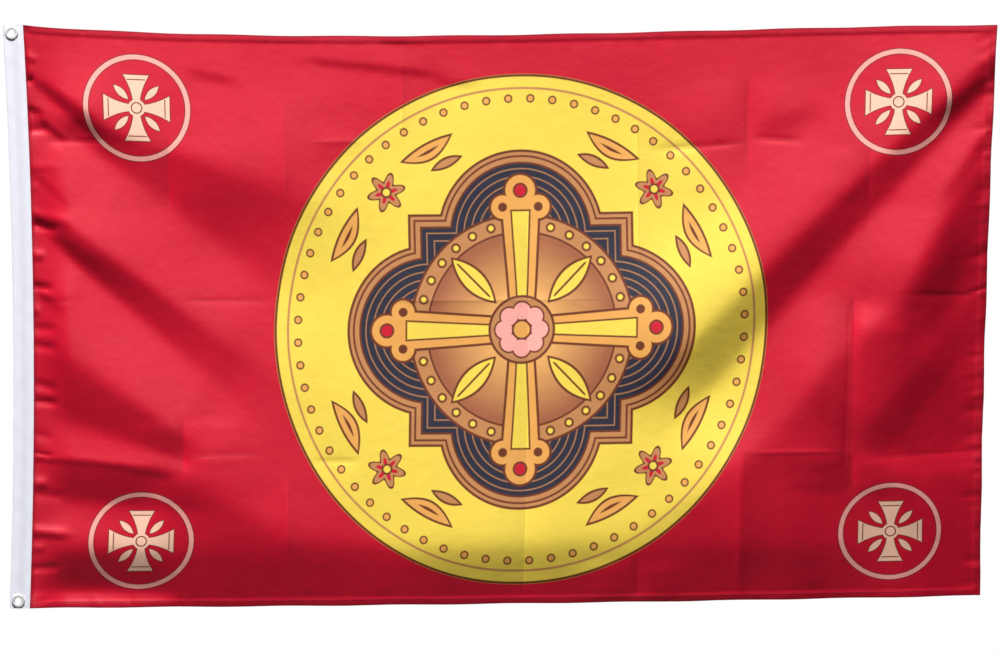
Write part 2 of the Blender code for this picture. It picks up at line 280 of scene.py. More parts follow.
class FlagHeadingSettings(PropertyGroup):
    """Colours of the canvas heading and its thread."""
    canvas: FloatVectorProperty(
        name="Canvas", description="Colour of the canvas", default=(0.90, 0.90, 1.0),
        subtype="COLOR")
    thread: FloatVectorProperty(
        name="Thread", description="Colour of the heading's thread", default=(0.86, 0.85, 0.88),
        subtype="COLOR")


class FlagSewingSettings(PropertyGroup):
    """Sizes of the stitches."""
    pitch: FloatProperty(
        name="Stitch pitch", description="Distance from one stitch to the next",
        default=3.4 * MM, unit="LENGTH")
    length: FloatProperty(
        name="Stitch length", description="Length of the thread that shows in one stitch",
        default=2.7 * MM, unit="LENGTH")
    radius: FloatProperty(
        name="Thread radius", description="Radius of the thread", default=0.2 * MM,
        unit="LENGTH")


class FlagGrommetSettings(PropertyGroup):
    """Sizes of the grommets."""
    hole_radius: FloatProperty(
        name="Hole radius", description="Radius of the clear hole", default=5.0 * MM,
        unit="LENGTH")
    flange_radius: FloatProperty(
        name="Flange radius", description="Radius of the flange and the washer",
        default=10.0 * MM, unit="LENGTH")
    steps: IntProperty(
        name="Steps", description="Steps of each turned piece", default=72, min=12)


class FlagStageSettings(PropertyGroup):
    """Camera, floor and lights."""
    distance: FloatProperty(
        name="Camera distance", description="Distance of the camera from the flag",
        default=20.0, unit="LENGTH")
    view_width: FloatProperty(
        name="View width", description="Width of the view at the flag", default=1.5085,
        unit="LENGTH")
    view_height: FloatProperty(
        name="View centre", description="Height of the middle of the view",
        default=-0.4435, unit="LENGTH")
    floor_height: FloatProperty(
        name="Floor height", description="Height of the floor", default=-3.2, unit="LENGTH")
    key_power: FloatProperty(
        name="Key power", description="Power of the main soft light", default=3300.0,
        unit="POWER")
    sheen_power: FloatProperty(
        name="Sheen power", description="Power of the soft light that the satin reflects",
        default=86.0, unit="POWER")
    back_power: FloatProperty(
        name="Back power", description="Power of the soft light on the back", default=100.0,
        unit="POWER")
    ambient: FloatProperty(
        name="Ambient", description="Strength of the even light from all round", default=0.022)


def settings():
    return bpy.context.scene.hanging_flag


def smooth_step(start, end, value):
    share = np.clip((value - start) / (end - start), 0.0, 1.0)
    return share * share * (3 - 2 * share)


def mix(a, b, share):
    return a + (b - a) * share


def arch(share):
    """0 at both ends and 1 in the middle."""
    return 4 * share * (1 - share)


def top_edge(s):
    peak = SAG_HOIST_POWER / (SAG_HOIST_POWER + SAG_FLY_POWER)
    deepest = peak ** SAG_HOIST_POWER * (1 - peak) ** SAG_FLY_POWER
    sag = TOP_SAG * s ** SAG_HOIST_POWER * (1 - s) ** SAG_FLY_POWER / deepest
    return mix(HOIST_TOP[0], FLY_TOP[0], s), mix(HOIST_TOP[1], FLY_TOP[1], s) - sag


def foot_edge(s):
    z = mix(HOIST_FOOT[1], FLY_FOOT[1], s) - FOOT_BOW * arch(s)
    return mix(HOIST_FOOT[0], FLY_FOOT[0], s), z


def hoist_edge(t):
    x = mix(HOIST_TOP[0], HOIST_FOOT[0], t) + HOIST_BOW * arch(t)
    return x, mix(HOIST_TOP[1], HOIST_FOOT[1], t)


def fly_edge(t):
    x = mix(FLY_TOP[0], FLY_FOOT[0], t) - FLY_BOW * arch(t)
    return x, mix(FLY_TOP[1], FLY_FOOT[1], t)


def outline_points(s, t):
    """X and Z at shares s along the fly and t down, blended from the cloth's four edges."""
    edges = zip(top_edge(s), foot_edge(s), hoist_edge(t), fly_edge(t),
                HOIST_TOP, FLY_TOP, HOIST_FOOT, FLY_FOOT)
    blended = []
    for top, foot, hoist, fly, hoist_top, fly_top, hoist_foot, fly_foot in edges:
        corners = mix(mix(hoist_top, fly_top, s), mix(hoist_foot, fly_foot, s), t)
        blended.append(mix(top, foot, t) + mix(hoist, fly, s) - corners)
    return blended


def along_and_below(x, z, head, tail):
    """Share of the way from head to tail, and the distance below that line, for each point."""
    run = np.subtract(tail, head)
    length = np.hypot(*run)
    run_x, run_z = run / length
    side = -1.0 if run_x < 0 else 1.0
    share = ((x - head[0]) * run_x + (z - head[1]) * run_z) / length
    below = side * ((x - head[0]) * run_z - (z - head[1]) * run_x)
    return share, below, length


def fold_depth(x, z, row):
    """One fold of a table: forward above its line and back below it. All in millimetres."""
    _, head_x, head_z, tail_x, tail_z, bow, head_half, tail_half, *rest = row
    settle_over, drop, fade_in, fade_out = rest
    share, below, _ = along_and_below(x, z, (head_x, head_z), (tail_x, tail_z))
    inner = np.clip(share, 0, 1)
    half = mix(head_half, tail_half, inner)
    across = (below - bow * arch(inner)) / half
    ramp = -across / (1 + np.abs(across) ** RAMP_POWER) ** (1 / RAMP_POWER)
    reach = settle_over / half
    settle = np.exp(-np.maximum((np.abs(across) - SETTLE_START) / reach, 0) ** 2)
    window = 1 - smooth_step(1 - fade_out, 1, share)
    if fade_in > 0:
        window = window * smooth_step(0, fade_in, share)
    growth = half / max(head_half, tail_half)
    return drop / 2 * ramp * settle * window * growth


def soft_bend(distance, soft):
    """0 before a line and the distance past it beyond, with a soft turn between."""
    return soft * np.logaddexp(0, distance / soft)


def belly_depth(x, z, from_seam):
    """The cloth leans forward on its way down, and turns back below TURN_LINE and at the foot."""
    turn_x, turn_z = zip(*TURN_LINE)
    lean = LEAN_SLOPE * soft_bend(-z - LEAN_START, LEAN_SOFT)
    turn = TURN_SLOPE * soft_bend(np.interp(x, turn_x, turn_z) - z, TURN_SOFT)
    foot = FOOT_SLOPE * soft_bend(FOOT_LINE - z, FOOT_SOFT)
    foot = foot * (1 - smooth_step(*FOOT_FADE, x))
    side = mix(BELLY_AT_HEADING, 1.0, smooth_step(0, BELLY_SIDE, from_seam))
    return (lean - turn - foot) * side


def crease_depth(x, z, row):
    """One row of CREASES: a soft ridge or trough, and slopes that turn at it."""
    _, head_x, head_z, tail_x, tail_z, half, height, tilt = row
    share, below, length = along_and_below(x, z, (head_x, head_z), (tail_x, tail_z))
    ends = min(0.3, CREASE_FADE / length)
    window = smooth_step(0, ends, share) * (1 - smooth_step(1 - ends, 1, share))
    ridge = height * np.exp(-(below / half) ** 2)
    bend = tilt * (np.hypot(below, half / 2) - half) * np.exp(-(below / TILT_REACH) ** 2)
    return (ridge + bend) * window


def gather_rows(edge, count, length, spread, half, height):
    """Short creases that run in from a sewn edge, uneven in place, length and depth."""
    pick = random.Random(edge)
    rows = []
    for i in range(count):
        share = (i + pick.uniform(0.1, 0.9)) / count
        reach = length + pick.uniform(-spread, spread)
        slant = mix(pick.uniform(-0.8, 0.0), pick.uniform(-0.3, 0.25), share)
        depth = height * pick.uniform(0.35, 1.25) * pick.choice((-1, 1, -1))
        width = half * pick.uniform(0.7, 1.5)
        if edge in ("hoist", "fly"):
            at_x, at_z = (hoist_edge if edge == "hoist" else fly_edge)(share)
            way = (reach, reach * slant) if edge == "hoist" else (-reach, reach * slant)
        else:
            at_x, at_z = (top_edge if edge == "top" else foot_edge)(share)
            way = (reach * slant, -reach if edge == "top" else reach)
        at_x, at_z = at_x / MM, at_z / MM
        tail = (at_x + way[0], at_z + way[1])
        head = (at_x - way[0] * 0.25, at_z - way[1] * 0.25)
        rows.append((edge, head[0], head[1], tail[0], tail[1], width, depth, 0.0))
    return rows


def ripple_depth(x, z):
    """Slow uneven swells of the whole cloth, in millimetres."""
    swell = 0.9 * np.sin(x / 61 + 1.3 * np.sin(z / 83)) * np.sin(z / 97 + 0.7)
    swell += 0.5 * np.sin(x / 37 - z / 45 + 2.1) * np.sin(x / 151 + z / 120)
    return swell


class ClothSurface:
    """The middle surface of the hanging cloth, at any shares along the fly and down."""

    def __init__(self):
        self.gathers = [row for edge in GATHERS for row in gather_rows(*edge)]

    def points(self, s, t):
        cloth = settings().cloth
        x, z = outline_points(s, t)
        wide, high = x / MM, z / MM
        from_seam = (x - hoist_edge(t)[0]) / MM
        broad = belly_depth(wide, high, from_seam)
        for row in FOLDS:
            broad = broad + fold_depth(wide, high, row)
        fine = ripple_depth(wide, high)
        for row in SMALL_FOLDS:
            fine = fine + fold_depth(wide, high, row)
        for row in CREASES:
            fine = fine + cloth.crease_strength * crease_depth(wide, high, row)
        for row in self.gathers:
            fine = fine + cloth.gather_strength * crease_depth(wide, high, row)
        depth = broad * smooth_step(0, FLAT_NEAR_HEADING, from_seam)
        depth = (depth + fine * smooth_step(0, FINE_NEAR_HEADING, from_seam)) * MM
        x = x + EDGE_WAVE * np.sin(high / 23) * smooth_step(0.99, 1, s)
        hem = smooth_step(0.985, 1, t) - smooth_step(0.015, 0, t)
        return np.stack((x, -depth, z + EDGE_WAVE * np.sin(wide / 27 + 1) * hem), axis=1)


def check_on_solid(points):
    """Stops the script if the sheet leaves the solid cloth's folds."""
    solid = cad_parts["flag_cloth"].data
    tree = BVHTree.FromPolygons(
        [v.co for v in solid.vertices], [p.vertices for p in solid.polygons])
    furthest = max(tree.find_nearest(Vector(point))[3] for point in points[::7])
    if furthest > FURTHEST_FROM_SOLID:
        raise RuntimeError(f"the cloth is {furthest / MM:.1f} mm from its solid")


def graded_shares(length, stretches, lines, edges):
    """Shares of a length, evenly spaced in each stretch, with extra mesh lines beside each named
    line and at the given distances inside the edges."""
    shares, start = [0.0, 1.0], 0.0
    for end, step in stretches:
        shares += list(np.linspace(start, end, round((end - start) / step) + 1)[:-1] / length)
        start = end
    extra = [(line + offset) / length for line in lines for offset in BESIDE_CREASE]
    extra = [v for v in extra if 0 < v < 1] + [v / length for v in edges]
    kept = [v for v in shares
            if v in (0, 1) or all(abs(v - e) * length > CLOSEST_LINES for e in extra)]
    return np.array(sorted(set(kept + extra)))


def flat_place(x, z):
    """Shares along the fly and down of a point of the hanging plane, in millimetres."""
    s, t = 0.5, 0.5
    for _ in range(3):
        left, right = hoist_edge(t)[0], fly_edge(t)[0]
        s = (x * MM - left) / (right - left)
        top, foot = top_edge(s)[1], foot_edge(s)[1]
        t = (top - z * MM) / (top - foot)
    return s, t


def crease_lines(part):
    """Distances of the packing creases down from the hoist seam, or of those across from the
    top."""
    lines = []
    for row in CREASES:
        if row[0].startswith("pack_" + part):
            s, t = flat_place((row[1] + row[3]) / 2, (row[2] + row[4]) / 2)
            lines.append((s * FLAT_WIDTH if part == "down" else t * FLAT_HEIGHT) * MM)
    merged = []
    for line in sorted(lines):
        if not merged or line - merged[-1] > CREASES_APART:
            merged.append(line)
    return merged


def outward(bm):
    bmesh.ops.recalc_face_normals(bm, faces=bm.faces)


def finished_object(name, bm, materials):
    mesh = bpy.data.meshes.new(name)
    bm.to_mesh(mesh)
    bm.free()
    for mat in materials:
        mesh.materials.append(mat)
    mesh.shade_smooth()
    obj = bpy.data.objects.new(name, mesh)
    bpy.context.scene.collection.objects.link(obj)
    return obj


def apply_modifiers(obj):
    evaluated = obj.evaluated_get(bpy.context.evaluated_depsgraph_get())
    mesh = bpy.data.meshes.new_from_object(evaluated)
    obj.modifiers.clear()
    obj.data = mesh


class Field:
    """A number that varies over a surface: a socket of a node tree, with ordinary arithmetic."""

    def __init__(self, tree, socket):
        self.tree = tree
        self.socket = socket

    def math(self, operation, *others, clamp=False):
        node = self.tree.nodes.new("ShaderNodeMath")
        node.operation = operation
        node.use_clamp = clamp
        self.tree.links.new(self.socket, node.inputs[0])
        for entry, other in zip(node.inputs[1:], others):
            if isinstance(other, Field):
                self.tree.links.new(other.socket, entry)
            else:
                entry.default_value = other
        return Field(self.tree, node.outputs[0])

    def __add__(self, other):
        return self.math("ADD", other)

    def __sub__(self, other):
        return self.math("SUBTRACT", other)

    def __mul__(self, other):
        return self.math("MULTIPLY", other)

    def __truediv__(self, other):
        return self.math("DIVIDE", other)

    def __neg__(self):
        return self.math("MULTIPLY", -1.0)

    def __abs__(self):
        return self.math("ABSOLUTE")

    def least(self, other):
        return self.math("MINIMUM", other)

    def most(self, other):
        return self.math("MAXIMUM", other)

    def sine(self):
        return self.math("SINE")

    def within(self, soft):
        """1 where this distance is below zero and 0 where it is above, soft over a width."""
        return (self / -soft).math("ADD", 0.5, clamp=True)

    def line(self, half, soft):
        return (abs(self) - half).within(soft)

    def waves(self, pitch):
        """-1 to 1 and back over each pitch."""
        return (self * (math.tau / pitch)).sine()


def span(a, b):
    """Distance from zero of the point (a, b)."""
    return (a * a + b * b).math("SQRT")


def octant(a, b):
    """Folds a plane about its axes and diagonals, so that a motif drawn once shows eight times."""
    a, b = abs(a), abs(b)
    return a.most(b), a.least(b)


def turned_eighth(a, b):
    """The same plane seen along its diagonal."""
    return (a + b) * math.sqrt(0.5), (a - b) * math.sqrt(0.5)


def leaf(along, across, half_length, half_width):
    """Signed height over a pointed leaf that lies along a line."""
    share = along / half_length
    return abs(across) - (share * share * -half_width + half_width).most(-4.0 * half_width)


def mixed(tree, factor, first, second, blend="MIX"):
    """Two colours mixed by a factor. Each is a socket or a plain value."""
    node = tree.nodes.new("ShaderNodeMix")
    node.data_type = "RGBA"
    node.blend_type = blend
    # inputs 6 and 7 and output 2 are this node's colours
    entries = (node.inputs["Factor"], node.inputs[6], node.inputs[7])
    for entry, value in zip(entries, (factor, first, second)):
        if isinstance(value, bpy.types.NodeSocket):
            tree.links.new(value, entry)
        else:
            entry.default_value = value
    return node.outputs[2]


class Print:
    """Layers of ink, each laid over the last through a mask."""

    def __init__(self, tree, colour):
        self.tree = tree
        rgb = tree.nodes.new("ShaderNodeRGB")
        rgb.outputs[0].default_value = (*colour, 1.0)
        self.socket = rgb.outputs[0]

    def ink(self, mask, colour):
        self.socket = mixed(self.tree, mask.socket, self.socket, (*colour, 1.0))


def noise_field(tree, vector, scale, detail=2.0, roughness=0.5):
    node = tree.nodes.new("ShaderNodeTexNoise")
    node.inputs["Scale"].default_value = scale
    node.inputs["Detail"].default_value = detail
    node.inputs["Roughness"].default_value = roughness
    tree.links.new(vector, node.inputs["Vector"])
    return Field(tree, node.outputs["Fac"])


def plane_fields(tree, source, scale):
    """Scaled coordinates, as fields and as a vector."""
    mapping = tree.nodes.new("ShaderNodeMapping")
    mapping.inputs["Scale"].default_value = scale
    tree.links.new(source, mapping.inputs["Vector"])
    parts = tree.nodes.new("ShaderNodeSeparateXYZ")
    tree.links.new(mapping.outputs[0], parts.inputs[0])
    return [Field(tree, out) for out in parts.outputs], mapping.outputs[0]


def flat_plane(tree):
    """Millimetres from the hoist seam and up from the foot of the flat cloth, and their vector."""
    uv = tree.nodes.new("ShaderNodeUVMap")
    uv.uv_map = UV_NAME
    (x, y, _), plane = plane_fields(tree, uv.outputs[0], (FLAT_WIDTH, FLAT_HEIGHT, 1))
    return x, y, plane


def draw_medallion(paper, u, v, colours):
    """A barbed quatrefoil with a budded cross on a beaded disc. u and v are shares of its
    radius."""
    edge = 0.004
    dark = colours.brown

    def rimmed(shape, rim, colour, soft=edge):
        """A shape in a colour, with a dark rim inside its outline."""
        paper.ink(shape.within(soft), dark)
        paper.ink((shape + rim).within(soft), colour)

    reach = span(u, v)
    arm, side = octant(u, v)
    slant, offset = turned_eighth(arm, side)

    # disc, its outline and a beaded ring with a band of leaves
    paper.ink((reach - 1.0).within(edge), colours.disc)
    paper.ink((reach - 0.995).line(0.005, edge), dark)
    paper.ink((reach - 0.945).line(0.0045, edge), colours.tan)
    angle = offset.math("ARCTAN2", slant)
    turn = angle * (32 / math.pi)
    bead_turn = turn.math("FRACT") - 0.5
    bead = span(bead_turn * (math.pi / 32 * 0.905), reach - 0.905)
    rimmed(bead - 0.017, 0.006, colours.gold)

    # flowers on the diagonals, with a pair of leaves beside each
    flower_u, flower_v = slant - 0.765, offset
    flower_reach = span(flower_u, flower_v)
    petal = (flower_v.math("ARCTAN2", flower_u) * 6).math("COSINE")
    flower = flower_reach - (petal * 0.018 + 0.062)
    past = angle - 0.30
    ring_leaf = leaf(past, reach - 0.79 - past * past * 1.2, 0.15, 0.036)
    rimmed(leaf(angle - 0.36, reach - 0.72, 0.10, 0.022), 0.009, colours.tan)
    rimmed(ring_leaf, 0.009, colours.gold)
    paper.ink((ring_leaf + 0.030).within(edge), dark)
    rimmed(flower, 0.009, colours.tan)
    paper.ink((flower + 0.034).within(edge), colours.field)
    rimmed(flower_reach - 0.022, 0.008, colours.disc)

    # the quatrefoil: four lobes and a square, a tan border, fine lines that follow its edge
    lobe = span(arm - 0.37, side) - 0.335
    body = lobe.least(arm - 0.455)
    rimmed(body, 0.010, colours.tan)
    paper.ink((body + 0.026).line(0.004, edge), dark)
    rimmed(body + 0.048, 0.008, colours.navy)
    contour = (body * (1 / 0.030)).math("FRACT") - 0.5
    lines = contour.line(0.085, 0.12) * (body + 0.066).within(edge)
    paper.ink(lines * 0.75, colours.tan)

    # a beaded halo behind the cross, round a warm heart that is lighter in the middle
    rimmed(reach - 0.455, 0.010, colours.tan)
    rimmed(reach - 0.385, 0.008, colours.shaded)
    paper.ink((reach - 0.25).within(0.22), colours.warm)
    halo_bead = span((turn * 0.5).math("FRACT") - 0.5, (reach - 0.415) * (16 / math.pi / 0.415))
    rimmed(halo_bead - 0.24, 0.11, colours.disc, soft=0.06)

    # leaves between the arms
    between = leaf(slant - 0.275, offset, 0.115, 0.038)
    rimmed(between - 0.010, 0.010, colours.disc)
    vein = offset.line(0.004, edge) * (between + 0.012).within(edge)
    paper.ink(vein, dark)

    # the cross: flared arms that end in three buds, with an inlaid line and a rosette
    shaft = (side - (arm * 0.07 + 0.040)).most(arm - 0.50)
    tip = span(arm - 0.545, side)
    shoulder = span(arm - 0.480, side - 0.072)
    cross = shaft.least(tip - 0.060).least(shoulder - 0.046)
    rimmed(cross - 0.010, 0.010, colours.gold)
    inlay = (side - (arm * 0.05 + 0.018)).most(arm - 0.470)
    rimmed(inlay, 0.007, colours.disc)
    rimmed(tip - 0.030, 0.008, colours.field)
    paper.ink((shoulder - 0.018).within(edge), dark)

    rimmed(reach - 0.135, 0.010, colours.tan)
    petals = (span(arm - 0.072, side) - 0.034).least(span(slant - 0.072, offset) - 0.034)
    rimmed(petals - 0.007, 0.007, colours.peach)
    rimmed(reach - 0.040, 0.008, colours.gold)


def draw_corner_ring(paper, x, y, radius, colours):
    """A ring with a small flared cross in it. x and y are millimetres from its centre."""
    soft = 1.0
    outline = 1.3
    dark = (0.16, 0.012, 0.014)
    reach = span(x, y)
    arm, side = octant(x, y)
    slant, offset = turned_eighth(arm, side)
    flare = (side - (arm * arm * 0.006 + 4.5)).most(arm - 50)
    boss = reach - 13
    star = leaf(slant - 33, offset, 15, 5.0)
    ring = abs(reach - radius) - 3.6
    shape = flare.least(boss).least(star)
    for form, colour in ((ring, colours.peach), (shape, colours.cream)):
        paper.ink((form - outline).within(soft), dark)
        paper.ink(form.within(soft), colour)
    paper.ink((abs(reach - 8) - 0.9).within(soft), dark)
    paper.ink((abs(arm - 43) - 0.8).within(soft) * (flare + 1.5).within(soft), dark)


def painted_crease_light(x, y, row):
    """The painted light along a packing crease: a dark line of painted shade, and for one down the
    cloth also a painted highlight beside it and painted shade on one side against light on the
    other."""
    name, head_x, head_z, tail_x, tail_z, _, _, tilt = row
    s, t = flat_place((head_x + tail_x) / 2, (head_z + tail_z) / 2)
    x, y = x - s * FLAT_WIDTH, y - (1 - t) * FLAT_HEIGHT
    if name.startswith("pack_across"):
        rise = (tail_z - head_z) / (tail_x - head_x)
        along = x.line(abs(tail_x - head_x) / 2 - 12, 24)
        # a dark line of painted shade along a crease across the cloth
        return (y - x * rise).line(0.8, 3.0) * along * -0.28 + 1.0
    along = y.line(abs(head_z - tail_z) / 2 - 8, 16)
    across = x * math.copysign(1, tilt)
    # a dark line of painted shade in the crease
    dark = across.line(0.5, 2.6)
    # a painted highlight beside the crease
    crease_highlight = (across - 3.2).line(0.6, 2.6)
    nearby = (abs(across) - CREASE_SHADE_REACH / 2).within(CREASE_SHADE_REACH)
    # painted shade on one side of the crease and painted light on the other
    turned = (across.within(2.0) * 2 - 1.0) * nearby
    tone = dark * -0.15 + crease_highlight * 0.07 - turned * min(3.2 * abs(tilt), 0.13)
    return tone * along + 1.0


def print_group():
    """The whole print as one node group, with the hem's painted shade and other painted light in
    it.
    """
    sizes = settings().print
    tree = bpy.data.node_groups.new("flag_print", "ShaderNodeTree")
    tree.interface.new_socket("Color", in_out="OUTPUT", socket_type="NodeSocketColor")
    x, y, plane = flat_plane(tree)
    paper = Print(tree, sizes.field)

    disc_x, disc_y = DISC_CENTRE[0] * FLAT_WIDTH, DISC_CENTRE[1] * FLAT_HEIGHT
    radius = sizes.disc_radius / MM
    draw_medallion(paper, (x - disc_x) / radius, (y - disc_y) / (radius * DISC_TALL), sizes)

    # the rings' centres from the hoist, the fly, the top and the foot
    from_hoist, from_fly, from_top, from_foot = 169, 146, 116, 103
    left = (x - FLAT_WIDTH / 2).within(1.0)
    ring_x = (x - from_hoist) * left + (-x + (FLAT_WIDTH - from_fly)) * (-left + 1.0)
    low = (y - FLAT_HEIGHT / 2).within(1.0)
    low_y = (y - from_foot) / LOW_RING_TALL
    ring_y = low_y * low + (-y + (FLAT_HEIGHT - from_top)) * (-low + 1.0)
    draw_corner_ring(paper, ring_x, ring_y, sizes.ring_radius / MM, sizes)

    # ink is a little uneven at random; painted shade darkens the doubled hem, which lets less light
    # through
    blotch = noise_field(tree, plane, 0.012, 4.0, 0.6) * 0.16 + 0.92
    grain = noise_field(tree, plane, 1.3, 2.0) * 0.10 + 0.95
    to_edge = (-x + FLAT_WIDTH).least(y).least(-y + FLAT_HEIGHT)
    hem = (to_edge - settings().cloth.hem_width / MM).within(0.8)
    # painted shade along the cloth's folded edge
    edge_fold_shade = (to_edge - 1.5).within(2.5)
    # painted shade at the hoist seam and in the wider strip beside it
    seam = (x - 4).within(8)
    beside_seam_shade = (x - 20).within(50)
    shade = blotch * grain * (hem * -HEM_SHADE + 1.0) * (edge_fold_shade * -FOLD_SHADE + 1.0)
    shade = shade * (seam * -SEAM_SHADE + 1.0) * (beside_seam_shade * -BY_SEAM_SHADE + 1.0)
    for row in CREASES:
        if row[0].startswith("pack_"):
            # painted shade and highlights along each packing crease
            shade = shade * painted_crease_light(x, y, row)
    out = tree.nodes.new("NodeGroupOutput")
    tree.links.new(mixed(tree, 1.0, paper.socket, shade.socket, "MULTIPLY"), out.inputs[0])
    return tree


def new_material(name):
    mat = bpy.data.materials.new(name)
    mat.use_nodes = True
    tree = mat.node_tree
    return mat, tree, tree.nodes["Principled BSDF"]


def set_bump(tree, shader, height, strength):
    """height is a field in metres."""
    bump = tree.nodes.new("ShaderNodeBump")
    bump.inputs["Strength"].default_value = strength
    bump.inputs["Distance"].default_value = 1.0
    tree.links.new(height.socket, bump.inputs["Height"])
    tree.links.new(bump.outputs[0], shader.inputs["Normal"])


def polyester(name, group, fading):
    """Satin polyester with the print and its painted shade: a fine weave, slack threads and an
    uneven shine.
    """
    mat, tree, shader = new_material(name)
    x, y, plane = flat_plane(tree)
    source = tree.nodes.new("ShaderNodeGroup")
    source.node_tree = group
    faded = mixed(tree, fading, source.outputs[0], FADED_PRINT)
    tree.links.new(faded, shader.inputs["Base Color"])
    weave = x.waves(0.55) * y.waves(0.55)
    crinkle = noise_field(tree, plane, 0.055, 3.0, 0.55)
    height = weave * (0.012 * MM) + crinkle * (0.9 * MM)
    set_bump(tree, shader, height, 0.5)
    shine = noise_field(tree, plane, 0.02, 3.0) * 0.10 + (settings().cloth.roughness - 0.05)
    tree.links.new(shine.socket, shader.inputs["Roughness"])
    shader.inputs["Specular IOR Level"].default_value = 0.36
    return mat


def object_plane(tree, scale=1000.0):
    """Object coordinates, in millimetres unless another scale is given."""
    coordinates = tree.nodes.new("ShaderNodeTexCoord")
    return plane_fields(tree, coordinates.outputs["Object"], (scale, scale, scale))


def tinted(tree, shader, colour, amount, low):
    """Base colour that runs from a darker tone of itself to its full tone by a field."""
    paper = Print(tree, colour)
    paper.ink(amount, tuple(c * low for c in colour))
    tree.links.new(paper.socket, shader.inputs["Base Color"])


def canvas_material(name, colour):
    """Plain woven canvas: coarse warp and weft, slubs, a little soiling, and a darker band and line
    near the seam.
    """
    mat, tree, shader = new_material(name)
    (x, _, z), plane = object_plane(tree)
    pitch = 0.9
    over = x.waves(pitch) * z.waves(pitch)
    slub = noise_field(tree, plane, 0.35, 3.0)
    soil = noise_field(tree, plane, 0.03, 4.0, 0.6)
    share = (-z + HOIST_TOP[1] / MM) / ((HOIST_TOP[1] - HOIST_FOOT[1]) / MM)
    seam = share * ((HOIST_FOOT[0] - HOIST_TOP[0]) / MM) + HOIST_TOP[0] / MM
    from_seam = -x + seam + share * (-share + 1.0) * (4 * HOIST_BOW / MM)
    # darker in a band about 14 mm from the hoist seam and along a thin line 8.6 mm from it
    band = (from_seam - 14).line(4.5, 3.0) + (from_seam - 8.6).line(0.5, 0.8) * 0.9
    tone = over * 0.12 + slub * 0.25 + soil * 0.35 + band * 0.35
    tinted(tree, shader, colour, tone.math("ADD", 0.0, clamp=True), 0.80)
    set_bump(tree, shader, over * (0.05 * MM) + slub * (0.12 * MM), 0.7)
    shader.inputs["Roughness"].default_value = 0.82
    shader.inputs["Specular IOR Level"].default_value = 0.3
    shader.inputs["Sheen Weight"].default_value = 0.15
    return mat


def thread_material(name, colour):
    """Spun thread: a fine diagonal twist along each stitch."""
    mat, tree, shader = new_material(name)
    (x, y, z), _ = object_plane(tree)
    twist = (x + y + z).waves(0.45)
    tinted(tree, shader, colour, twist * 0.3 + 0.3, 0.7)
    set_bump(tree, shader, twist * (0.03 * MM), 0.6)
    shader.inputs["Roughness"].default_value = 0.6
    return mat


def plated_metal():
    """Nickel plate: small scuffs and a duller tone that varies at random."""
    mat, tree, shader = new_material("nickel_plate")
    _, plane = object_plane(tree)
    scuff = noise_field(tree, plane, 1.1, 5.0, 0.65)
    dull = noise_field(tree, plane, 0.25, 3.0)
    tinted(tree, shader, (0.90, 0.90, 0.89), dull * 0.7, 0.80)
    shader.inputs["Metallic"].default_value = 1.0
    rough = scuff * 0.24 + 0.46
    tree.links.new(rough.socket, shader.inputs["Roughness"])
    set_bump(tree, shader, scuff * (0.04 * MM), 0.5)
    return mat


SHARED = {}


def shared_surface():
    if "surface" not in SHARED:
        SHARED["surface"] = ClothSurface()
    return SHARED["surface"]


def flat_shares(points, axis):
    """Share of the length along each mesh line, measured on the folded cloth."""
    steps = np.linalg.norm(np.diff(points, axis=axis), axis=2)
    zero = np.zeros_like(np.take(steps, [0], axis=axis))
    run = np.concatenate((zero, np.cumsum(steps, axis=axis)), axis=axis)
    return run / np.take(run, [-1], axis=axis)


def evened(shares, axis, count):
    """Shares of a grid with their unevenness along one axis taken out, as taut cloth shears."""
    weights = np.hanning(count + 2)[1:-1]
    weights /= weights.sum()

    def spread(line):
        return np.convolve(np.pad(line, count // 2, mode="edge"), weights, "valid")

    return np.apply_along_axis(spread, axis, shares)


def heading_point(across, forward, t):
    seam_x, z = hoist_edge(t)
    return Vector((seam_x + across, -forward, z))


def grommet_centre(end):
    height = HOIST_TOP[1] - HOIST_FOOT[1]
    t = GROMMET_FROM_END / height
    return heading_point(-GROMMET_FROM_SEAM, 0.0, t if end == "upper" else 1 - t)


